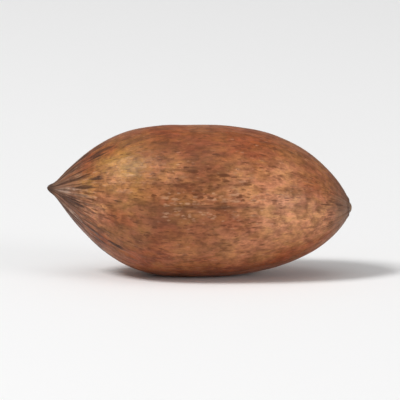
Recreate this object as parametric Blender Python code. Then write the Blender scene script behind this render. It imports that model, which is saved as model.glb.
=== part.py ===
"""A pecan in its shell, lying on its side on a small flat spot.

Run with: blender --background --python part.py

The nut is one closed solid in metres, +Z up. Its length lies along X, with the pointed tip at -X and the
stalk end at +X. The origin is at the middle of the nut's outline seen from above, on the surface it rests on.
Angles round the nut are measured about its length, from straight up towards the front (-Y).
"""

import math

import bmesh
import bpy
import numpy as np

# Driving dimensions
LENGTH = 0.0440
HEIGHT = 0.0221
BREADTH = 0.0226
WIDEST_AT = 0.0206  # from the pointed tip

# How full the sides are towards each end, and how sharp the end is: 0.5 is round and 1 is a cone
TIP_FULLNESS = 2.64
TIP_SHARPNESS = 1.04
STALK_FULLNESS = 2.6
STALK_SHARPNESS = 0.70

# The beak is what is left of the flower's style at the tip. The nub is the scar where the stalk was.
BEAK_LENGTH = 0.0007
BEAK_RADIUS = 0.00135
BEAK_REACH = 0.0018
BEAK_TAPER = 0.60
NUB_LENGTH = 0.0004
NUB_RADIUS = 0.0013
NUB_REACH = 0.0012
NUB_TAPER = 0.50
ENDS_FADE = 0.0072  # how fast the beak and the nub lose themselves in the shell
ENDS_BLEND = 2.4  # how sharply they meet it

# The middle line curves up and to the back at the tip, and down a little at the stalk end
TIP_RISE = 0.0018
TIP_SIDE = 0.0005
TIP_BEND_AT = 0.46  # shares of the length
STALK_DROP = 0.0010
STALK_BEND_AT = 0.66

# The seam between the shell's halves runs down the front and the back. The shell has four low corners near
# the tip, two of them on the seam.
SEAM_ANGLE = math.radians(87.0)
SEAM_HEIGHT = 0.00006
SEAM_HALF_WIDTH = 0.00085
SEAM_EVENNESS = 0.5  # 0 keeps the seam at full height up to the ends
CORNER_HEIGHT = 0.00013
CORNER_COUNT = 4
CORNERS_AT = 0.16  # shares of the length
CORNERS_SPREAD = 0.14

# Where the nut is thinner than this, towards its ends, its relief fades out
RELIEF_FULL_RADIUS = 0.0027

# Long low waves of the shell: height, waves round it, waves along it, start round it, start along it
WAVES = (
    (0.00014, 2, 0.6, 0.4, 1.1),
    (0.00008, 3, 1.1, 2.1, 0.3),
    (0.00005, 5, 0.8, 4.4, 2.0),
    (0.00003, 7, 1.6, 1.3, 5.2),
    (0.00002, 9, 1.2, 3.6, 3.9),
    (0.000015, 12, 0.9, 0.9, 2.7),
)

# Shallow dents: share of the length, angle round the nut in degrees, radius along and across, depth
DENTS = (
    (0.33, 62.0, 0.0052, 0.0030, 0.00013),
    (0.66, 118.0, 0.0060, 0.0030, 0.00011),
    (0.72, 40.0, 0.0048, 0.0026, 0.00012),
    (0.40, 330.0, 0.0065, 0.0034, 0.00015),
    (0.62, 285.0, 0.0050, 0.0030, 0.00013),
    (0.27, 235.0, 0.0046, 0.0028, 0.00011),
    (0.80, 205.0, 0.0040, 0.0026, 0.00012),
)

# How deep the resting spot is pressed into the lowest side
SPOT_DEPTH = 0.00016

# How finely the solid is divided round the nut and along it
SEGMENTS = 72
RINGS = 58
OUTLINE_SAMPLES = 2000
SPOT_SNAP = 0.000001

SHELL_COLOUR = (0.36, 0.165, 0.075, 1.0)
SHELL_ROUGHNESS = 0.42


def half_thickness(along):
    """The shell's radius as a share of the widest, at a distance from the tip, beak and nub included."""
    tip_start = BEAK_LENGTH
    stalk_start = LENGTH - NUB_LENGTH
    if along < WIDEST_AT:
        out = (WIDEST_AT - along) / (WIDEST_AT - tip_start)
        fullness, sharpness = TIP_FULLNESS, TIP_SHARPNESS
    else:
        out = (along - WIDEST_AT) / (stalk_start - WIDEST_AT)
        fullness, sharpness = STALK_FULLNESS, STALK_SHARPNESS
    body = (1.0 - min(out, 1.0) ** fullness) ** sharpness
    widest = HEIGHT / 2
    beak = BEAK_RADIUS / widest * (max(along, 0.0) / BEAK_REACH) ** BEAK_TAPER
    nub = NUB_RADIUS / widest * (max(LENGTH - along, 0.0) / NUB_REACH) ** NUB_TAPER
    end = beak if along < LENGTH / 2 else nub
    fade = math.exp(-min(along, LENGTH - along) / ENDS_FADE)
    return (body**ENDS_BLEND + (end * fade) ** ENDS_BLEND) ** (1 / ENDS_BLEND)


def ring_places():
    """Distances from the tip of the rings between the two ends, evenly spaced along the curved side."""
    spread = np.linspace(0.0, math.pi, OUTLINE_SAMPLES)
    along = LENGTH * (1.0 - np.cos(spread)) / 2
    radius = np.array([half_thickness(x) * HEIGHT / 2 for x in along])
    steps = np.hypot(np.diff(along), np.diff(radius))
    travelled = np.concatenate([[0.0], np.cumsum(steps)])
    wanted = travelled[-1] * np.arange(1, RINGS) / RINGS
    return np.interp(wanted, travelled, along)


def middle_line(share):
    """How far the nut's middle line stands to the back and up, at a share of the length."""
    to_tip = max(0.0, 1.0 - share / TIP_BEND_AT) ** 2
    to_stalk = max(0.0, (share - STALK_BEND_AT) / (1.0 - STALK_BEND_AT)) ** 2
    return TIP_SIDE * to_tip, TIP_RISE * to_tip - STALK_DROP * to_stalk


def turn_between(angle, other):
    """The shortest turn from one angle to another."""
    return math.remainder(angle - other, math.tau)


def seam_relief(angle, radius, share):
    """A narrow raised line on both seams, fading out before the ends."""
    strength = math.sin(math.pi * share) ** SEAM_EVENNESS
    relief = 0.0
    for side in (0.0, math.pi):
        across = turn_between(angle, SEAM_ANGLE + side) * radius
        relief += math.exp(-((across / SEAM_HALF_WIDTH) ** 2))
    return SEAM_HEIGHT * strength * relief


def corner_relief(angle, share):
    """Four rounded corners that are strongest just behind the tip."""
    rise = math.exp(-(((share - CORNERS_AT) / CORNERS_SPREAD) ** 2))
    return CORNER_HEIGHT * rise * math.cos(CORNER_COUNT * (angle - SEAM_ANGLE))


def wave_relief(angle, share):
    """Long low waves, each with its own count round the nut and along it."""
    relief = 0.0
    for height, around, along, start_around, start_along in WAVES:
        relief += height * math.cos(around * angle + start_around) * math.cos(
            math.tau * along * share + start_along
        )
    return relief * math.sin(math.pi * share)


def dent_relief(angle, radius, share):
    """Shallow dents, as smooth dips."""
    relief = 0.0
    for place, degrees, reach_along, reach_across, depth in DENTS:
        across = turn_between(angle, math.radians(degrees)) * radius / reach_across
        along = (share - place) * LENGTH / reach_along
        relief -= depth * math.exp(-(across**2) - along**2)
    return relief


def shell_point(along, angle):
    """A point of the shell, before the nut is set down."""
    share = along / LENGTH
    radius = half_thickness(along) * HEIGHT / 2
    taper = min(1.0, radius / RELIEF_FULL_RADIUS)
    relief = seam_relief(angle, radius, share) + corner_relief(angle, share)
    relief += wave_relief(angle, share) + dent_relief(angle, radius, share)
    radius += relief * taper
    side, up = middle_line(share)
    y = side - radius * math.sin(angle) * BREADTH / HEIGHT
    z = up + radius * math.cos(angle)
    return along, y, z


def shape_sphere(mesh):
    """Moves each point of a unit sphere, whose poles are the nut's two ends, on to the shell."""
    places = np.concatenate([[0.0], ring_places(), [LENGTH]])
    for vertex in mesh.verts:
        direction = vertex.co.normalized()
        from_pole = math.acos(max(-1.0, min(1.0, direction.z)))
        ring = round(from_pole / math.pi * RINGS)
        angle = math.atan2(direction.y, direction.x)
        vertex.co = shell_point(places[ring], angle)
    bmesh.ops.recalc_face_normals(mesh, faces=mesh.faces)


def press_resting_spot(mesh):
    """Slices the resting spot off the lowest side, levels its rim and closes it with one flat face."""
    level = min(vertex.co.z for vertex in mesh.verts) + SPOT_DEPTH
    cut = bmesh.ops.bisect_plane(
        mesh,
        geom=mesh.verts[:] + mesh.edges[:] + mesh.faces[:],
        dist=SPOT_SNAP,
        plane_co=(0.0, 0.0, level),
        plane_no=(0.0, 0.0, -1.0),
        clear_outer=True,
    )
    rim = [item for item in cut["geom_cut"] if isinstance(item, bmesh.types.BMEdge)]
    for edge in rim:
        for vertex in edge.verts:
            vertex.co.z = level
    bmesh.ops.contextual_create(mesh, geom=rim)
    bmesh.ops.recalc_face_normals(mesh, faces=mesh.faces)


def set_down(mesh):
    """Puts the origin on the resting surface, at the middle of the nut seen from above."""
    points = np.array([vertex.co for vertex in mesh.verts])
    low, high = points.min(axis=0), points.max(axis=0)
    middle = (low + high) / 2
    bmesh.ops.translate(mesh, verts=mesh.verts, vec=(-middle[0], -middle[1], -low[2]))


def shell_material():
    """The warm brown shell with its soft gloss."""
    material = bpy.data.materials.new("shell_brown")
    material.use_nodes = True
    shader = material.node_tree.nodes["Principled BSDF"]
    shader.inputs["Base Color"].default_value = SHELL_COLOUR
    shader.inputs["Roughness"].default_value = SHELL_ROUGHNESS
    shader.inputs["Metallic"].default_value = 0.0
    return material


def make_nut(collection):
    """The whole nut as one object."""
    mesh = bmesh.new()
    bmesh.ops.create_uvsphere(mesh, u_segments=SEGMENTS, v_segments=RINGS, radius=1.0)
    shape_sphere(mesh)
    press_resting_spot(mesh)
    set_down(mesh)
    data = bpy.data.meshes.new("pecan_nut")
    mesh.to_mesh(data)
    mesh.free()
    data.materials.append(shell_material())
    data.shade_smooth()
    nut = bpy.data.objects.new("pecan_nut", data)
    collection.objects.link(nut)
    return nut


def main():
    for old in list(bpy.data.objects):
        bpy.data.objects.remove(old)
    collection = bpy.data.collections.new("pecan_in_shell")
    bpy.context.scene.collection.children.link(collection)
    make_nut(collection)


main()
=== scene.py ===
"""The finished look of a pecan in its shell, around the solid.

A finer skin follows the same formulas as the solid and adds the low relief of a real shell: ridges that run
out of the beak, a hammered surface, the seam's groove and the stalk's scar. Its colours come from nodes.
Lengths are in metres, and a share is a distance from the tip as a share of the nut's length. Angles round the
nut are measured about its length, from straight up towards the front (-Y).
"""

import math

import bmesh
import bpy
import numpy as np
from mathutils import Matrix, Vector, noise

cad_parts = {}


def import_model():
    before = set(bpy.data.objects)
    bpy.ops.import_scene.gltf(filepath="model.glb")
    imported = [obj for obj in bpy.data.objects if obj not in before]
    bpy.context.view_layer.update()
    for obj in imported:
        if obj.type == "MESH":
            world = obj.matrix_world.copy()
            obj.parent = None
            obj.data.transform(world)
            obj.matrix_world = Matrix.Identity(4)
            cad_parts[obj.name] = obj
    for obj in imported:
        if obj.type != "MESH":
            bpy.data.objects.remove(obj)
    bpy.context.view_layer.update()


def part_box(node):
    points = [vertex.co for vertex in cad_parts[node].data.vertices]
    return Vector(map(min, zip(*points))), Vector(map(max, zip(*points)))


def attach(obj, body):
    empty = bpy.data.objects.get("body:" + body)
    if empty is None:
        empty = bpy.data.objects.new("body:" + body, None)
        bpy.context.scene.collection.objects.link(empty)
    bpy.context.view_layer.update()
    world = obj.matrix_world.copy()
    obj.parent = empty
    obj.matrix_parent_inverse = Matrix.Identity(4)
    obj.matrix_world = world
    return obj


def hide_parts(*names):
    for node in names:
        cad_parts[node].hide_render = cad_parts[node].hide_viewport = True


NODE = "pecan_nut"

# The solid's own values: its outline, its two ends and its middle line
LENGTH = 0.0440
HEIGHT = 0.0221
BREADTH = 0.0226
WIDEST_AT = 0.0206
TIP_FULLNESS = 2.64
TIP_SHARPNESS = 1.04
STALK_FULLNESS = 2.6
STALK_SHARPNESS = 0.70
BEAK_LENGTH = 0.0007
BEAK_RADIUS = 0.00135
BEAK_REACH = 0.0018
BEAK_TAPER = 0.60
NUB_LENGTH = 0.0004
NUB_RADIUS = 0.0013
NUB_REACH = 0.0012
NUB_TAPER = 0.50
ENDS_FADE = 0.0072
ENDS_BLEND = 2.4
TIP_RISE = 0.0018
TIP_SIDE = 0.0005
TIP_BEND_AT = 0.46
STALK_DROP = 0.0010
STALK_BEND_AT = 0.66

# The solid's own relief: seams, low corners, long waves, dents and the resting spot
SEAM_ANGLE = math.radians(87.0)
SEAMS = (SEAM_ANGLE, SEAM_ANGLE + math.pi)
SEAM_HEIGHT = 0.00006
SEAM_HALF_WIDTH = 0.00085
SEAM_EVENNESS = 0.5
CORNER_HEIGHT = 0.00013
CORNER_COUNT = 4
CORNERS_AT = 0.16
CORNERS_SPREAD = 0.14
RELIEF_FULL_RADIUS = 0.0027
SPOT_DEPTH = 0.00016

# Long low waves: height, waves round it, waves along it, start round it, start along it
WAVES = (
    (0.00014, 2, 0.6, 0.4, 1.1),
    (0.00008, 3, 1.1, 2.1, 0.3),
    (0.00005, 5, 0.8, 4.4, 2.0),
    (0.00003, 7, 1.6, 1.3, 5.2),
    (0.00002, 9, 1.2, 3.6, 3.9),
    (0.000015, 12, 0.9, 0.9, 2.7),
)

# Shallow dents: share, angle in degrees, radius along and across, depth
DENTS = (
    (0.33, 62.0, 0.0052, 0.0030, 0.00013),
    (0.66, 118.0, 0.0060, 0.0030, 0.00011),
    (0.72, 40.0, 0.0048, 0.0026, 0.00012),
    (0.40, 330.0, 0.0065, 0.0034, 0.00015),
    (0.62, 285.0, 0.0050, 0.0030, 0.00013),
    (0.27, 235.0, 0.0046, 0.0028, 0.00011),
    (0.80, 205.0, 0.0040, 0.0026, 0.00012),
)

# How finely the skin is divided round the nut and along it
SEGMENTS = 300
RINGS = 256
OUTLINE_SAMPLES = 6000
MIDDLE = 0.5  # the share where the tip's half ends and the stalk's half starts

# Low ridges that run out of the beak and out of the stalk's scar: height, count round the nut, share over
# which they fade, start round it, and how far they wander
RIDGES = (
    (0.000080, 7, 0.12, 2.5, 0.3),
    (0.000045, 17, 0.14, 0.3, 1.9),
    (0.000030, 29, 0.20, 1.7, 2.6),
    (0.000016, 46, 0.28, 4.0, 3.4),
)
STALK_RIDGES = (
    (0.000045, 11, 0.06, 2.2, 1.6),
    (0.000028, 29, 0.10, 0.8, 2.4),
)

# They wander in two waves: how often each goes round the nut, how large the second is beside the first, and
# how far it turns along the whole nut
WANDER_COUNT = 2
SMALL_WANDER_COUNT = 5
SMALL_WANDER_SIZE = 0.6
SMALL_WANDER_TURN = 9.0

# The height at which a crest is fully pale (wear and painted highlight), also the depth at which a furrow is
# fully dark (painted shade)
CREST_HEIGHT = 0.00012
LEVEL = 0.5  # the crest mask where the shell is level

# The hammered surface: height, and size of one hollow along and across
HOLLOWS = (
    (0.000060, 0.0056, 0.0034),
    (0.000040, 0.0026, 0.0016),
    (0.000052, 0.0038, 0.0009),
)

# The groove along each seam, and the dark line in it: where that is clearest, and how clear it is elsewhere
GROOVE_DEPTH = 0.00005
GROOVE_HALF_WIDTH = 0.00016
SEAM_LINE_HALF_WIDTH = 0.00026
SEAM_LINE_AT = 0.58
SEAM_LINE_REACH = 0.19
SEAM_LINE_LEAST = 0.25

# The stalk's scar: a shallow cup with a low rim
SCAR_DEPTH = 0.00018
SCAR_RADIUS = 0.00070
RIM_HEIGHT = 0.00010
RIM_RADIUS = 0.00120
RIM_HALF_WIDTH = 0.00028
SCAR_EDGE = 0.00190  # where its colours have faded into the shell's
SCAR_WANDER = 0.90  # how raggedly they do

# Colours of the shell, linear
BROWN = (0.295, 0.108, 0.042)
WARM_BROWN = (0.275, 0.067, 0.020)
DEEP_BROWN = (0.150, 0.050, 0.022)
TAN = (0.455, 0.224, 0.053)
ORANGE = (0.555, 0.250, 0.116)
GREY_TAN = (0.245, 0.145, 0.095)
# Pale crests near the ends: wear and painted highlight
CREST_WEAR_AND_HIGHLIGHT_PALE = (0.430, 0.292, 0.215)
# Dark furrows near the ends and the tip's upper side: painted shade
FURROW_SHADE_BROWN = (0.080, 0.036, 0.021)
# Pale specks: partly rubbed shell, partly painted highlight glints
RUBBED_AND_GLINT_PALE = (0.590, 0.325, 0.190)
RUST = (0.105, 0.032, 0.012)
STREAK = (0.050, 0.020, 0.011)
BEAK_BROWN = (0.080, 0.042, 0.027)
SCAR_PALE = (0.290, 0.180, 0.110)
SCAR_DARK = (0.075, 0.036, 0.022)
PINKER = (1.03, 0.97, 1.06)
YELLOWER = (0.99, 1.03, 0.92)

# Where those colours gather: share, angle in degrees, reach along as a share, reach round in degrees, and
# strength
TAN_PLACES = (
    # The first patch is the shell's golden colour and partly a painted highlight from the key light
    (0.250, 54.0, 0.082, 24.0, 0.92),
    (0.130, 68.0, 0.035, 14.0, 0.60),
    (0.550, 220.0, 0.120, 30.0, 0.30),
    (0.300, 300.0, 0.100, 32.0, 0.35),
    (0.780, 330.0, 0.090, 30.0, 0.20),
    (0.200, 170.0, 0.070, 30.0, 0.25),
)
ORANGE_PLACES = (
    (0.760, 88.0, 0.130, 34.0, 0.85),
    (0.630, 70.0, 0.070, 20.0, 0.48),
    (0.765, 52.0, 0.055, 13.0, 0.60),
    # A painted highlight: pale orange high on the side near the tip, under the key light
    (0.215, 62.0, 0.026, 12.0, 0.55),
    (0.500, 84.0, 0.045, 9.0, 0.28),
    (0.250, 84.0, 0.050, 11.0, 0.35),
    (0.410, 118.0, 0.080, 18.0, 0.30),
    (0.750, 97.0, 0.060, 13.0, 0.50),
    (0.160, 99.0, 0.040, 17.0, 0.95),
    (0.890, 92.0, 0.060, 34.0, 0.60),
    (0.400, 66.0, 0.060, 16.0, 0.45),
    (0.600, 124.0, 0.090, 20.0, 0.35),
    (0.340, 200.0, 0.100, 28.0, 0.50),
    (0.700, 255.0, 0.110, 30.0, 0.55),
    (0.500, 0.0, 0.090, 26.0, 0.40),
)
WARM_PLACES = (
    # The first three patches darken the upper edge: the shell's red-brown, and partly painted shade
    (0.390, 24.0, 0.080, 20.0, 0.95),
    (0.520, 26.0, 0.080, 20.0, 0.70),
    (0.660, 24.0, 0.110, 22.0, 0.95),
    (0.870, 62.0, 0.050, 24.0, 0.70),
    (0.500, 150.0, 0.150, 26.0, 0.50),
    (0.350, 255.0, 0.120, 30.0, 0.70),
    (0.720, 275.0, 0.120, 34.0, 0.70),
    (0.600, 345.0, 0.090, 24.0, 0.55),
)
DEEP_PLACES = (
    (0.390, 96.0, 0.070, 16.0, 0.62),
    (0.380, 34.0, 0.060, 10.0, 0.45),
    (0.500, 46.0, 0.050, 24.0, 0.60),
    (0.460, 200.0, 0.110, 24.0, 0.45),
    (0.640, 310.0, 0.080, 22.0, 0.45),
    (0.220, 265.0, 0.070, 26.0, 0.50),
)
FLECK_PLACES = (
    (0.490, 68.0, 0.130, 18.0, 0.85),
    (0.140, 95.0, 0.070, 60.0, 0.70),
    (0.930, 95.0, 0.035, 50.0, 0.80),
    (0.620, 72.0, 0.060, 16.0, 0.40),
    (0.500, 190.0, 0.140, 34.0, 0.70),
    (0.400, 300.0, 0.160, 36.0, 0.80),
    (0.750, 250.0, 0.110, 30.0, 0.60),
)
# Painted highlight glints gather here, with pale specks of rubbed shell
GLINT_PLACES = (
    (0.560, 92.5, 0.150, 5.0, 0.95),
    (0.620, 79.0, 0.140, 5.0, 0.85),
    (0.430, 84.0, 0.060, 8.0, 0.70),
    (0.110, 95.0, 0.050, 60.0, 0.80),
    (0.640, 60.0, 0.060, 10.0, 0.40),
    (0.360, 205.0, 0.120, 16.0, 0.50),
    (0.580, 285.0, 0.140, 18.0, 0.45),
    (0.700, 0.0, 0.120, 18.0, 0.30),
)
GATHERINGS = {
    "tan": TAN_PLACES,
    "orange": ORANGE_PLACES,
    "warm": WARM_PLACES,
    "deep": DEEP_PLACES,
    "flecks": FLECK_PLACES,
    "glints": GLINT_PLACES,
}

# Where painted shade darkens the ends and painted highlight lightens their crests, in the same terms
SHADE_AND_SPOT_PLACES = (
    (0.070, 26.0, 0.050, 30.0, 0.95),
    (0.075, 106.0, 0.028, 13.0, 0.90),
    (0.050, 152.0, 0.040, 20.0, 0.70),
    (0.080, 215.0, 0.040, 18.0, 0.70),
    (0.060, 290.0, 0.050, 22.0, 0.70),
    # Darker spots beside the stalk's scar
    (0.953, 84.0, 0.012, 13.0, 0.75),
    (0.940, 262.0, 0.014, 10.0, 0.60),
)
# Painted highlight on crests near the tip
CREST_HIGHLIGHT_PLACES = (
    (0.072, 73.0, 0.030, 9.0, 0.70),
    (0.085, 128.0, 0.026, 9.0, 0.60),
    (0.075, 244.0, 0.030, 9.0, 0.50),
)

# Textures: length of a step along the nut and across it, where they start, detail, roughness, distortion
BROAD = (0.0088, 0.0064, 0.0, 3.0, 0.55, 0.4)
BLOTCHES = (0.0034, 0.0026, 3.0, 4.0, 0.60, 0.6)
TINTS = (0.0030, 0.0016, 27.0, 4.0, 0.60, 0.4)
DAPPLE = (0.0020, 0.0011, 19.0, 3.0, 0.60, 0.3)
MOTTLE = (0.00080, 0.00056, 7.0, 4.0, 0.65, 0.0)
SMUDGES = (0.0055, 0.0017, 17.0, 4.0, 0.62, 0.5)
FIBRES = (0.0034, 0.00026, 1.0, 3.0, 0.60, 0.3)
NOISE_MIDDLE = 0.5

# Marks: length and width of the cell that holds one, where the cells start, and the mark's size in its cell
RUST_FLECKS = (0.0019, 0.00052, 0.0, 0.70)
RUST_DOTS = (0.0011, 0.00042, 31.0, 0.66)
PORES = (0.0009, 0.00028, 41.0, 0.66)
STREAKS = (0.0062, 0.0016, 11.0, 0.74)
DASHES = (0.0034, 0.0009, 23.0, 0.76)
RUBBED_AND_GLINT_SPOTS = (0.0014, 0.00050, 53.0, 0.64)
RUBBED_AND_GLINT_DOTS = (0.0007, 0.00030, 61.0, 0.58)

# The outline of a mark wanders: how far, as a share of its cell, and the finer noise that moves it
RAGGED = 0.75
WOBBLE_STEP = 0.42
WOBBLE_START = 5.0
WOBBLE_DETAIL = 3.0
WOBBLE_ROUGHNESS = 0.5
CORE = 0.55  # how much of a mark is full, inside its soft edge

# Soft steps in a mark's presence, size and depth: from, to, and the two values where they aren't 0 and 1
PRESENCE_STEP = (0.0, 0.16)
BULK_STEP = (0.0, 1.0, 0.55, 1.0)
DEPTH_STEP = (0.0, 1.0, 0.45, 1.0)

# Soft steps in the ground's textures, in the same terms
WARM_STEP = (0.38, 0.62)
TAN_BLOTCH_STEP = (0.56, 0.74, 0.0, 0.35)
TAN_PATCH_STEP = (0.28, 0.55, 0.55, 1.0)
ORANGE_PATCH_STEP = (0.30, 0.58, 0.60, 1.0)
WARM_PATCH_STEP = (0.30, 0.62, 0.95, 0.60)
DEEP_PATCH_STEP = (0.35, 0.60, 0.45, 1.0)
TINT_STEP = (0.38, 0.62)
MOTTLE_SHADES = (0.30, 0.70, 0.79, 1.19)
DAPPLE_SHADES = (0.30, 0.70, 0.74, 1.24)
FIBRE_SHADES = (0.30, 0.70, 0.90, 1.09)

# Soft steps at the weathered ends, with painted shade in the furrows and painted highlight on the crests
TIP_WEATHERED = (0.17, 0.02)
STALK_WEATHERED = (0.90, 0.985)
GREYED_STEP = (0.34, 0.60, 0.35, 0.90)
FURROW_SHADE_STEP = (0.42, 0.10)
FURROW_SHADE_SMUDGE_STEP = (0.62, 0.38, 0.35, 0.95)
CREST_WEAR_AND_HIGHLIGHT_STEP = (0.60, 0.92)
CREST_WEAR_AND_HIGHLIGHT_DAPPLE_STEP = (0.36, 0.58, 0.15, 0.90)
BEAK_STEP = (0.032, 0.010, 0.0, 0.92)
STALK_SHADE_STEP = (0.915, 0.985)
STALK_SMUDGE_STEP = (0.32, 0.62, 0.55, 0.25)
SCAR_RING_STEP = (0.06, 0.36)
SCAR_RING_DAPPLE_STEP = (0.36, 0.60, 0.30, 0.90)
SCAR_INSIDE_STEP = (0.42, 0.62)
SCAR_INSIDE_MOTTLE_STEP = (0.34, 0.60, 0.20, 0.90)

# How often each kind of mark is there, as soft steps in its mask or as one share, and how strong it is
RUST_FLECK_STEP = (0.0, 1.0, 0.10, 0.90)
RUST_DOT_STEP = (0.0, 1.0, 0.14, 0.85)
PORE_PRESENCE = 0.42
PORE_STRENGTH = 0.80
RUST_STRENGTH = 0.82
NEAR_TIP_STEP = (0.36, 0.05)
OFF_ORANGE_STEP = (0.9, 0.1, 0.25, 1.0)
STREAK_PRESENCE = 0.85
STREAK_STRENGTH = 0.80
DASH_STEP = (0.0, 1.0, 0.03, 0.80)
SEAM_BREAK_STEP = (0.30, 0.48, 0.26, 0.74)
DARK_MOTTLE_STEP = (0.30, 0.55, 0.60, 0.95)
RUBBED_AND_GLINT_SPOT_STEP = (0.0, 1.0, 0.07, 0.80)
RUBBED_AND_GLINT_DOT_STEP = (0.0, 1.0, 0.12, 0.70)
RUBBED_AND_GLINT_STRENGTH = 0.56

# Gloss, and the fine unevenness that only shows in it
ROUGHNESS_STEP = (0.30, 0.70, 0.44, 0.31)
DARK_ROUGHER = 0.12
ENDS_ROUGHER = 0.12
SHELL_SHINE = 0.21
FIBRE_BUMP = 0.25
MOTTLE_BUMP = 0.5
DAPPLE_BUMP = 0.7
BUMP_HEIGHT = 0.00020
BUMP_STRENGTH = 0.70
PIT_HEIGHT = -0.00004  # the dark marks are sunken
PIT_STRENGTH = 0.6

# Numbers of a colour mix's two colours and of its result among the mix node's sockets
FIRST_COLOUR = 6
SECOND_COLOUR = 7
MIXED_COLOUR = 2

# The studio. Lights: name, azimuth and elevation in degrees, distance, size, watts
LIGHTS = (
    ("key", -64, 52, 1.80, 0.50, 21.5),
    ("fill", 58, 13, 2.20, 0.90, 16.0),
    ("top", 10, 82, 2.40, 2.00, 10.5),
)
WORLD_WHITE = (1.0, 1.0, 1.0, 1.0)
WORLD_STRENGTH = 0.28
FLOOR_REACH = 6.0
FLOOR_WHITE = (0.94, 0.94, 0.94, 1.0)
FLOOR_ROUGHNESS = 0.7
FLOOR_SHINE = 0.2

# The camera: its angle above the nut, its distance, and the width of what it sees there
VIEW_ELEVATION = math.radians(8.0)
VIEW_DISTANCE = 0.90
FRAME_WIDTH = 0.0575
SENSOR_WIDTH = 36.0


def half_thickness(along):
    """The shell's radius as a share of the widest, at distances from the tip, beak and nub included."""
    to_tip = (WIDEST_AT - along) / (WIDEST_AT - BEAK_LENGTH)
    to_stalk = (along - WIDEST_AT) / (LENGTH - NUB_LENGTH - WIDEST_AT)
    tip_side = (1.0 - np.clip(to_tip, 0.0, 1.0) ** TIP_FULLNESS) ** TIP_SHARPNESS
    stalk_side = (1.0 - np.clip(to_stalk, 0.0, 1.0) ** STALK_FULLNESS) ** STALK_SHARPNESS
    body = np.where(along < WIDEST_AT, tip_side, stalk_side)
    widest = HEIGHT / 2
    beak = BEAK_RADIUS / widest * (np.maximum(along, 0.0) / BEAK_REACH) ** BEAK_TAPER
    nub = NUB_RADIUS / widest * (np.maximum(LENGTH - along, 0.0) / NUB_REACH) ** NUB_TAPER
    end = np.where(along < LENGTH / 2, beak, nub)
    fade = np.exp(-np.minimum(along, LENGTH - along) / ENDS_FADE)
    return (body**ENDS_BLEND + (end * fade) ** ENDS_BLEND) ** (1 / ENDS_BLEND)


def ring_places():
    """Distances from the tip of all rings and both ends, evenly spaced along the curved side."""
    spread = np.linspace(0.0, math.pi, OUTLINE_SAMPLES)
    along = LENGTH * (1.0 - np.cos(spread)) / 2
    radius = half_thickness(along) * HEIGHT / 2
    steps = np.hypot(np.diff(along), np.diff(radius))
    travelled = np.concatenate([[0.0], np.cumsum(steps)])
    return np.interp(travelled[-1] * np.arange(RINGS + 1) / RINGS, travelled, along)


def turn_between(angle, other):
    """The shortest turns from one angle to others."""
    return (angle - other + math.pi) % math.tau - math.pi


def coarse_relief(share, angle, radius):
    """The solid's own relief: corners, seams, waves and dents."""
    near_corners = np.exp(-(((share - CORNERS_AT) / CORNERS_SPREAD) ** 2))
    relief = CORNER_HEIGHT * near_corners * np.cos(CORNER_COUNT * (angle - SEAM_ANGLE))
    middle = np.sin(math.pi * share)
    for seam in SEAMS:
        across = turn_between(angle, seam) * radius
        relief += SEAM_HEIGHT * middle**SEAM_EVENNESS * np.exp(-((across / SEAM_HALF_WIDTH) ** 2))
    for height, around, along, start_around, start_along in WAVES:
        wave = np.cos(around * angle + start_around) * np.cos(math.tau * along * share + start_along)
        relief += height * middle * wave
    for place, degrees, reach_along, reach_across, depth in DENTS:
        across = turn_between(angle, math.radians(degrees)) * radius / reach_across
        along = (share - place) * LENGTH / reach_along
        relief -= depth * np.exp(-(across**2) - along**2)
    return relief


def ridges_from(distance, angle, ridges):
    """Ridges that run out of an end, at distances from it as shares of the length."""
    relief = np.zeros_like(angle)
    for height, count, reach, start, wander in ridges:
        drift = np.sin(WANDER_COUNT * angle + start)
        drift += SMALL_WANDER_SIZE * np.sin(SMALL_WANDER_COUNT * angle + SMALL_WANDER_TURN * distance)
        crests = np.cos(count * angle + start + wander * drift)
        relief += height * np.exp(-((distance / reach) ** 2)) * crests
    return relief


def ridge_relief(share, angle):
    """The ridges out of the beak and out of the stalk's scar."""
    return ridges_from(share, angle, RIDGES) + ridges_from(1.0 - share, angle, STALK_RIDGES)


def groove_relief(share, angle, radius):
    """A fine groove along each seam."""
    relief = np.zeros_like(angle)
    for seam in SEAMS:
        across = turn_between(angle, seam) * radius
        relief -= GROOVE_DEPTH * np.sin(math.pi * share) * np.exp(-((across / GROOVE_HALF_WIDTH) ** 2))
    return relief


def hammered_relief(share, angle):
    """Irregular shallow hollows, longer along the nut than across it."""
    widest = HEIGHT / 2
    relief = np.zeros_like(angle)
    for height, along, across in HOLLOWS:
        places = zip(
            share * LENGTH / along,
            np.cos(angle) * widest / across,
            np.sin(angle) * widest / across,
        )
        relief += height * np.array([noise.noise(Vector(place)) for place in places])
    return relief


def scar_push(share, radius):
    """How far the stalk end is pushed out by the scar's rim and in by its cup."""
    cup = SCAR_DEPTH * np.exp(-((radius / SCAR_RADIUS) ** 2))
    rim = RIM_HEIGHT * np.exp(-(((radius - RIM_RADIUS) / RIM_HALF_WIDTH) ** 2))
    return np.where(share > MIDDLE, rim - cup, 0.0)


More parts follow.
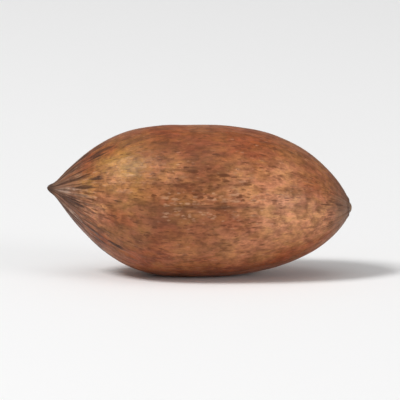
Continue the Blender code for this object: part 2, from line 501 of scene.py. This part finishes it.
def skin_points(share, angle):
    """Points of the skin and of the solid's own surface, before the nut is set down."""
    along = share * LENGTH
    radius = half_thickness(along) * HEIGHT / 2
    taper = np.minimum(1.0, radius / RELIEF_FULL_RADIUS)
    to_tip = np.maximum(0.0, 1.0 - share / TIP_BEND_AT) ** 2
    to_stalk = np.maximum(0.0, (share - STALK_BEND_AT) / (1.0 - STALK_BEND_AT)) ** 2
    side = TIP_SIDE * to_tip
    up = TIP_RISE * to_tip - STALK_DROP * to_stalk

    solid = radius + coarse_relief(share, angle, radius) * taper
    fine = ridge_relief(share, angle) + groove_relief(share, angle, radius) + hammered_relief(share, angle)
    skin = solid + fine * taper

    def placed(distance, push):
        back = side - distance * np.sin(angle) * BREADTH / HEIGHT
        return np.stack([along + push, back, up + distance * np.cos(angle)], axis=1)

    return placed(skin, scar_push(share, radius)), placed(solid, 0.0)


def set_down(skin, solid):
    """Puts the skin where the solid is, with its resting spot pressed flat."""
    low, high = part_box(NODE)
    shift = (np.array(low) + np.array(high)) / 2 - (solid.min(axis=0) + solid.max(axis=0)) / 2
    shift[2] = low.z - (solid[:, 2].min() + SPOT_DEPTH)
    skin = skin + shift
    skin[:, 2] = np.maximum(skin[:, 2], low.z)
    return skin


def gathered(share, angle, places):
    """How strongly something gathers at each point, from 0 to 1."""
    total = np.zeros_like(angle)
    for place, degrees, reach_along, reach_round, strength in places:
        along = (share - place) / reach_along
        around = turn_between(angle, math.radians(degrees)) / math.radians(reach_round)
        total += strength * np.exp(-(along**2) - around**2)
    return np.clip(total, 0.0, 1.0)


def crest_highlight_and_shade_mask(share, angle):
    """From 0 in a furrow, darkened by painted shade, to 1 on a crest, lightened by wear and painted
    highlight.
    """
    crest = LEVEL + ridge_relief(share, angle) / CREST_HEIGHT / 2
    crest += (gathered(share, angle, CREST_HIGHLIGHT_PLACES) - gathered(share, angle, SHADE_AND_SPOT_PLACES)) / 2
    return np.clip(crest, 0.0, 1.0)


def seam_mask(share, angle, radius):
    """1 in the middle of the seams' dark line where it is clearest, fading out across it and along it."""
    across = np.minimum(*(np.abs(turn_between(angle, seam)) for seam in SEAMS)) * radius
    clearness = np.exp(-(((share - SEAM_LINE_AT) / SEAM_LINE_REACH) ** 2)) * (1.0 - SEAM_LINE_LEAST)
    return np.exp(-((across / SEAM_LINE_HALF_WIDTH) ** 2)) * (clearness + SEAM_LINE_LEAST)


def scar_mask(share, radius):
    """From 1 in the middle of the stalk's scar to 0 at its edge."""
    return np.where(share > MIDDLE, np.clip(1.0 - radius / SCAR_EDGE, 0.0, 1.0), 0.0)


def store(mesh, name, values):
    """Writes one number or one vector for each point of the mesh."""
    kind, field = ("FLOAT_VECTOR", "vector") if values.ndim > 1 else ("FLOAT", "value")
    mesh.attributes.new(name, kind, "POINT").data.foreach_set(field, values.astype(np.float32).ravel())


def store_masks(mesh, share, angle):
    """What the material reads at each point: its place on the nut, and how strongly each colour gathers."""
    thickness = half_thickness(share * LENGTH)
    radius = thickness * HEIGHT / 2
    store(mesh, "shell_place", np.stack([share, np.cos(angle), np.sin(angle)], axis=1))
    store(mesh, "thickness", thickness)
    for name, places in GATHERINGS.items():
        store(mesh, name, gathered(share, angle, places))
    store(mesh, "crest", crest_highlight_and_shade_mask(share, angle))
    store(mesh, "seam", seam_mask(share, angle, radius))
    store(mesh, "scar", scar_mask(share, radius))


def make_skin():
    """The nut's fine skin, from a unit sphere whose poles are the nut's two ends."""
    form = bmesh.new()
    bmesh.ops.create_uvsphere(form, u_segments=SEGMENTS, v_segments=RINGS, radius=1.0)
    directions = np.array([vertex.co.normalized() for vertex in form.verts])
    rings = np.rint(np.arccos(np.clip(directions[:, 2], -1.0, 1.0)) / math.pi * RINGS).astype(int)
    share = ring_places()[rings] / LENGTH
    angle = np.arctan2(directions[:, 1], directions[:, 0])
    points = set_down(*skin_points(share, angle))
    for vertex, point in zip(form.verts, points):
        vertex.co = point
    bmesh.ops.recalc_face_normals(form, faces=form.faces)
    mesh = bpy.data.meshes.new("shell")
    form.to_mesh(mesh)
    form.free()
    mesh.shade_smooth()
    store_masks(mesh, share, angle)
    nut = bpy.data.objects.new("pecan_shell", mesh)
    bpy.context.scene.collection.objects.link(nut)
    return nut


class Shading:
    """Short names for the nodes of one material."""

    def __init__(self, name):
        self.material = bpy.data.materials.new(name)
        self.material.use_nodes = True
        self.tree = self.material.node_tree
        self.shader = self.tree.nodes["Principled BSDF"]

    def connect(self, value, socket):
        """Links a socket, or sets a plain value."""
        if isinstance(value, bpy.types.NodeSocket):
            self.tree.links.new(value, socket)
        elif isinstance(value, tuple) and len(value) == 3 and socket.type == "RGBA":
            socket.default_value = (*value, 1.0)
        else:
            socket.default_value = value

    def attribute(self, name, output="Fac"):
        """What the mesh stores at each point under a name."""
        made = self.tree.nodes.new("ShaderNodeAttribute")
        made.attribute_name = name
        return made.outputs[output]

    def math(self, operation, first, second=0.0):
        made = self.tree.nodes.new("ShaderNodeMath")
        made.operation = operation
        self.connect(first, made.inputs[0])
        self.connect(second, made.inputs[1])
        return made.outputs[0]

    def times(self, first, second):
        return self.math("MULTIPLY", first, second)

    def plus(self, first, second):
        return self.math("ADD", first, second)

    def minus(self, first, second):
        return self.math("SUBTRACT", first, second)

    def most(self, *amounts):
        """The highest of several amounts."""
        highest = amounts[0]
        for amount in amounts[1:]:
            highest = self.math("MAXIMUM", highest, amount)
        return highest

    def ramp(self, value, low, high, to_low=0.0, to_high=1.0):
        """A soft step from one value to another."""
        made = self.tree.nodes.new("ShaderNodeMapRange")
        made.interpolation_type = "SMOOTHSTEP"
        for socket, number in zip(made.inputs, (value, low, high, to_low, to_high)):
            self.connect(number, socket)
        return made.outputs[0]

    def noise(self, vector, detail, roughness, distortion=0.0, output="Fac"):
        """Noise at coordinates whose unit is one step."""
        made = self.tree.nodes.new("ShaderNodeTexNoise")
        self.connect(vector, made.inputs["Vector"])
        made.inputs["Scale"].default_value = 1.0
        made.inputs["Detail"].default_value = detail
        made.inputs["Roughness"].default_value = roughness
        made.inputs["Distortion"].default_value = distortion
        return made.outputs[output]

    def shifted(self, place, noise_value, amount):
        """A place moved by three noises."""
        centred = self.tree.nodes.new("ShaderNodeVectorMath")
        centred.operation = "SUBTRACT"
        self.connect(noise_value, centred.inputs[0])
        centred.inputs[1].default_value = (NOISE_MIDDLE, NOISE_MIDDLE, NOISE_MIDDLE)
        moved = self.tree.nodes.new("ShaderNodeVectorMath")
        moved.operation = "MULTIPLY_ADD"
        self.connect(centred.outputs[0], moved.inputs[0])
        moved.inputs[1].default_value = (amount, amount, amount)
        self.connect(place, moved.inputs[2])
        return moved.outputs[0]

    def cells(self, vector):
        """Distance to the nearest cell's middle, and three random numbers of that cell."""
        made = self.tree.nodes.new("ShaderNodeTexVoronoi")
        self.connect(vector, made.inputs["Vector"])
        made.inputs["Scale"].default_value = 1.0
        split = self.tree.nodes.new("ShaderNodeSeparateColor")
        self.connect(made.outputs["Color"], split.inputs[0])
        return made.outputs["Distance"], *split.outputs

    def separate(self, vector):
        made = self.tree.nodes.new("ShaderNodeSeparateXYZ")
        self.connect(vector, made.inputs[0])
        return made.outputs

    def combine(self, *values):
        made = self.tree.nodes.new("ShaderNodeCombineXYZ")
        for value, socket in zip(values, made.inputs):
            self.connect(value, socket)
        return made.outputs[0]

    def grey(self, value):
        """A grey whose brightness is a value."""
        made = self.tree.nodes.new("ShaderNodeCombineColor")
        for socket in made.inputs:
            self.connect(value, socket)
        return made.outputs[0]

    def mix(self, amount, first, second, blend="MIX"):
        """One colour mixed into another by an amount from 0 to 1."""
        made = self.tree.nodes.new("ShaderNodeMix")
        made.data_type = "RGBA"
        made.blend_type = blend
        made.clamp_factor = True
        self.connect(amount, made.inputs[0])
        self.connect(first, made.inputs[FIRST_COLOUR])
        self.connect(second, made.inputs[SECOND_COLOUR])
        return made.outputs[MIXED_COLOUR]

    def bump(self, height, distance, strength, normal=None):
        """A normal tilted by a height, on top of another one if it is given."""
        made = self.tree.nodes.new("ShaderNodeBump")
        made.inputs["Strength"].default_value = strength
        made.inputs["Distance"].default_value = distance
        self.connect(height, made.inputs["Height"])
        if normal is not None:
            self.connect(normal, made.inputs["Normal"])
        return made.outputs[0]


class ShellLook(Shading):
    """The shell's nodes, with its textures measured along the nut and round it."""

    def __init__(self):
        super().__init__("pecan_shell")
        self.share, self.upward, self.sideward = self.separate(self.attribute("shell_place", "Vector"))
        thickness = self.attribute("thickness")
        self.height = self.times(self.upward, thickness)
        self.depth = self.times(self.sideward, thickness)
        self.broad = self.texture(self.grain, BROAD)
        self.blotches = self.texture(self.grain, BLOTCHES)
        self.tints = self.texture(self.grain, TINTS)
        self.dapple = self.texture(self.grain, DAPPLE)
        self.mottle = self.texture(self.grain, MOTTLE)
        self.smudges = self.texture(self.rays, SMUDGES)
        self.fibres = self.texture(self.rays, FIBRES)

    def texture(self, places, kind):
        """Noise of one kind, at the coordinates that places makes."""
        along, across, start, detail, roughness, distortion = kind
        return self.noise(places(along, across, start), detail, roughness, distortion)

    def grain(self, along, across, start):
        """Coordinates with steps of these lengths along the nut and across it."""
        length_steps = self.plus(self.times(self.share, LENGTH / along), start)
        cross_steps = HEIGHT / 2 / across
        return self.combine(
            length_steps, self.times(self.height, cross_steps), self.times(self.depth, cross_steps)
        )

    def rays(self, along, across, start):
        """The same, but narrowing towards the ends, so that what they carry runs together there."""
        length_steps = self.plus(self.times(self.share, LENGTH / along), start)
        round_steps = HEIGHT / 2 / across
        return self.combine(
            length_steps, self.times(self.upward, round_steps), self.times(self.sideward, round_steps)
        )

    def marks(self, kind, presence):
        """Separate ragged marks, one in a cell at most, where the presence beats the cell's own number."""
        along, across, start, size = kind
        finer = self.rays(along * WOBBLE_STEP, across * WOBBLE_STEP, start + WOBBLE_START)
        wobble = self.noise(finer, WOBBLE_DETAIL, WOBBLE_ROUGHNESS, output="Color")
        place = self.shifted(self.rays(along, across, start), wobble, RAGGED)
        distance, chance, bulk, depth = self.cells(place)
        there = self.ramp(self.minus(presence, chance), *PRESENCE_STEP)
        reach = self.times(self.ramp(bulk, *BULK_STEP), size)
        inside = self.ramp(distance, reach, self.times(reach, CORE))
        return self.times(self.times(inside, there), self.ramp(depth, *DEPTH_STEP))


def ground_colour(look):
    """Broad patches of brown, tan, orange, red-brown and deep brown that run into each other."""
    colour = look.mix(look.ramp(look.broad, *WARM_STEP), BROWN, WARM_BROWN)
    colour = look.mix(look.ramp(look.blotches, *TAN_BLOTCH_STEP), colour, TAN)
    patches = (
        ("tan", TAN, look.blotches, TAN_PATCH_STEP),
        ("orange", ORANGE, look.dapple, ORANGE_PATCH_STEP),
        ("warm", WARM_BROWN, look.blotches, WARM_PATCH_STEP),
        ("deep", DEEP_BROWN, look.mottle, DEEP_PATCH_STEP),
    )
    for name, patch_colour, texture, step in patches:
        amount = look.times(look.attribute(name), look.ramp(texture, *step))
        colour = look.mix(amount, colour, patch_colour)
    tint = look.mix(look.ramp(look.tints, *TINT_STEP), PINKER, YELLOWER)
    return look.mix(1.0, colour, tint, "MULTIPLY")


def grained(look, colour):
    """The colour with its fine lighter and darker grain."""
    grains = ((look.mottle, MOTTLE_SHADES), (look.dapple, DAPPLE_SHADES), (look.fibres, FIBRE_SHADES))
    for texture, shades in grains:
        colour = look.mix(1.0, colour, look.grey(look.ramp(texture, *shades)), "MULTIPLY")
    return colour


def weathered_ends_with_painted_light(look, colour, ends):
    """Greyer towards both ends, pale with wear and painted highlight on the ridges' crests there, and dark
    with painted shade in the furrows between them.
    """
    greyed = look.times(ends, look.ramp(look.smudges, *GREYED_STEP))
    colour = look.mix(greyed, colour, GREY_TAN)
    crest = look.attribute("crest")
    furrow_shade = look.times(look.ramp(crest, *FURROW_SHADE_STEP), look.ramp(look.smudges, *FURROW_SHADE_SMUDGE_STEP))
    # Painted shade in the furrows and on the tip's upper side
    colour = look.mix(furrow_shade, colour, FURROW_SHADE_BROWN)
    crest_wear_and_highlight = look.times(look.ramp(crest, *CREST_WEAR_AND_HIGHLIGHT_STEP), look.ramp(look.dapple, *CREST_WEAR_AND_HIGHLIGHT_DAPPLE_STEP))
    # Wear and painted highlight on the crests
    return look.mix(crest_wear_and_highlight, colour, CREST_WEAR_AND_HIGHLIGHT_PALE)


def rust_marks(look):
    """Red-brown flecks, dots and pores."""
    flecks = look.attribute("flecks")
    return look.most(
        look.marks(RUST_FLECKS, look.ramp(flecks, *RUST_FLECK_STEP)),
        look.marks(RUST_DOTS, look.ramp(flecks, *RUST_DOT_STEP)),
        look.times(look.marks(PORES, PORE_PRESENCE), PORE_STRENGTH),
    )


def dark_marks(look):
    """Nearly black streaks and dashes out of the tip, and the seam's broken line."""
    off_orange = look.ramp(look.attribute("orange"), *OFF_ORANGE_STEP)
    near_tip = look.times(look.ramp(look.share, *NEAR_TIP_STEP), off_orange)
    streaks = look.marks(STREAKS, look.times(near_tip, STREAK_PRESENCE))
    dashes = look.marks(DASHES, look.ramp(near_tip, *DASH_STEP))
    seam = look.times(look.attribute("seam"), look.ramp(look.smudges, *SEAM_BREAK_STEP))
    return look.most(look.times(streaks, STREAK_STRENGTH), dashes, seam)


def rubbed_and_glint_marks(look):
    """Small pale places: partly where the skin of the shell is rubbed through, partly painted highlight
    glints.
    """
    glints = look.attribute("glints")
    return look.most(
        look.marks(RUBBED_AND_GLINT_SPOTS, look.ramp(glints, *RUBBED_AND_GLINT_SPOT_STEP)),
        look.marks(RUBBED_AND_GLINT_DOTS, look.ramp(glints, *RUBBED_AND_GLINT_DOT_STEP)),
    )


def scarred_stalk_end(look, colour):
    """The stalk's scar: pale and mottled inside a dark ring."""
    wander = look.minus(look.times(look.mottle, SCAR_WANDER), SCAR_WANDER / 2)
    scar = look.plus(look.attribute("scar"), wander)
    shaded = look.times(look.ramp(look.share, *STALK_SHADE_STEP), look.ramp(look.smudges, *STALK_SMUDGE_STEP))
    colour = look.mix(shaded, colour, SCAR_DARK)
    ring = look.times(look.ramp(scar, *SCAR_RING_STEP), look.ramp(look.dapple, *SCAR_RING_DAPPLE_STEP))
    colour = look.mix(ring, colour, SCAR_DARK)
    inside = look.times(look.ramp(scar, *SCAR_INSIDE_STEP), look.ramp(look.mottle, *SCAR_INSIDE_MOTTLE_STEP))
    return look.mix(inside, colour, SCAR_PALE)


def shell_material():
    """Warm brown shell: mottled, finely fibrous along its length, and marked dark at the tip."""
    look = ShellLook()
    ends = look.most(look.ramp(look.share, *TIP_WEATHERED), look.ramp(look.share, *STALK_WEATHERED))
    dark = dark_marks(look)

    colour = grained(look, ground_colour(look))
    colour = weathered_ends_with_painted_light(look, colour, ends)
    # Painted highlight glints and pale specks of rubbed shell
    colour = look.mix(look.times(rubbed_and_glint_marks(look), RUBBED_AND_GLINT_STRENGTH), colour, RUBBED_AND_GLINT_PALE)
    colour = look.mix(look.times(rust_marks(look), RUST_STRENGTH), colour, RUST)
    colour = look.mix(look.times(dark, look.ramp(look.mottle, *DARK_MOTTLE_STEP)), colour, STREAK)
    colour = look.mix(look.ramp(look.share, *BEAK_STEP), colour, BEAK_BROWN)
    look.connect(scarred_stalk_end(look, colour), look.shader.inputs["Base Color"])

    rough = look.plus(look.ramp(look.dapple, *ROUGHNESS_STEP), look.times(dark, DARK_ROUGHER))
    look.connect(look.plus(rough, look.times(ends, ENDS_ROUGHER)), look.shader.inputs["Roughness"])
    look.shader.inputs["Specular IOR Level"].default_value = SHELL_SHINE

    height = look.plus(look.times(look.mottle, MOTTLE_BUMP), look.times(look.dapple, DAPPLE_BUMP))
    height = look.plus(look.times(look.fibres, FIBRE_BUMP), height)
    normal = look.bump(height, BUMP_HEIGHT, BUMP_STRENGTH)
    normal = look.bump(dark, PIT_HEIGHT, PIT_STRENGTH, normal)
    look.connect(normal, look.shader.inputs["Normal"])
    return look.material


def floor_material():
    """Plain matt white."""
    look = Shading("studio_white")
    look.shader.inputs["Base Color"].default_value = FLOOR_WHITE
    look.shader.inputs["Roughness"].default_value = FLOOR_ROUGHNESS
    look.shader.inputs["Specular IOR Level"].default_value = FLOOR_SHINE
    return look.material


def make_floor():
    """A wide pale floor that the nut rests on."""
    form = bmesh.new()
    bmesh.ops.create_grid(form, x_segments=1, y_segments=1, size=FLOOR_REACH)
    mesh = bpy.data.meshes.new("floor")
    form.to_mesh(mesh)
    form.free()
    mesh.materials.append(floor_material())
    floor = bpy.data.objects.new("floor", mesh)
    bpy.context.scene.collection.objects.link(floor)


def aim(thing, target):
    """Turns a light or a camera to look at a point."""
    thing.rotation_euler = (Vector(target) - thing.location).to_track_quat("-Z", "Y").to_euler()


def add_light(name, azimuth, elevation, distance, size, watts, target):
    """A square soft light. Azimuth 0 is where the camera stands, and positive is to its right."""
    data = bpy.data.lights.new(name, "AREA")
    data.size = size
    data.energy = watts
    lamp = bpy.data.objects.new(name, data)
    flat = math.cos(math.radians(elevation)) * distance
    up = math.sin(math.radians(elevation)) * distance
    turn = math.radians(azimuth)
    lamp.location = (flat * math.sin(turn), -flat * math.cos(turn), up)
    bpy.context.scene.collection.objects.link(lamp)
    aim(lamp, target)


def make_studio(target):
    """Soft lights and an even pale world."""
    for light in LIGHTS:
        add_light(*light, target)
    world = bpy.data.worlds.new("studio")
    world.use_nodes = True
    background = world.node_tree.nodes["Background"]
    background.inputs["Color"].default_value = WORLD_WHITE
    background.inputs["Strength"].default_value = WORLD_STRENGTH
    bpy.context.scene.world = world
    bpy.context.scene.view_settings.view_transform = "Standard"


def make_camera(target):
    """A camera in front of the nut, a little above it."""
    data = bpy.data.cameras.new("camera")
    data.sensor_width = SENSOR_WIDTH
    data.lens = SENSOR_WIDTH * VIEW_DISTANCE / FRAME_WIDTH
    camera = bpy.data.objects.new("camera", data)
    flat = VIEW_DISTANCE * math.cos(VIEW_ELEVATION)
    camera.location = Vector(target) + Vector((0.0, -flat, VIEW_DISTANCE * math.sin(VIEW_ELEVATION)))
    bpy.context.scene.collection.objects.link(camera)
    aim(camera, target)
    bpy.context.scene.camera = camera


def main():
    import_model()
    low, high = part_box(NODE)
    target = (low + high) / 2
    make_camera(target)
    make_studio(target)
    make_floor()
    nut = make_skin()
    nut.data.materials.append(shell_material())
    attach(nut, "root")
    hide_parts(NODE)


main()
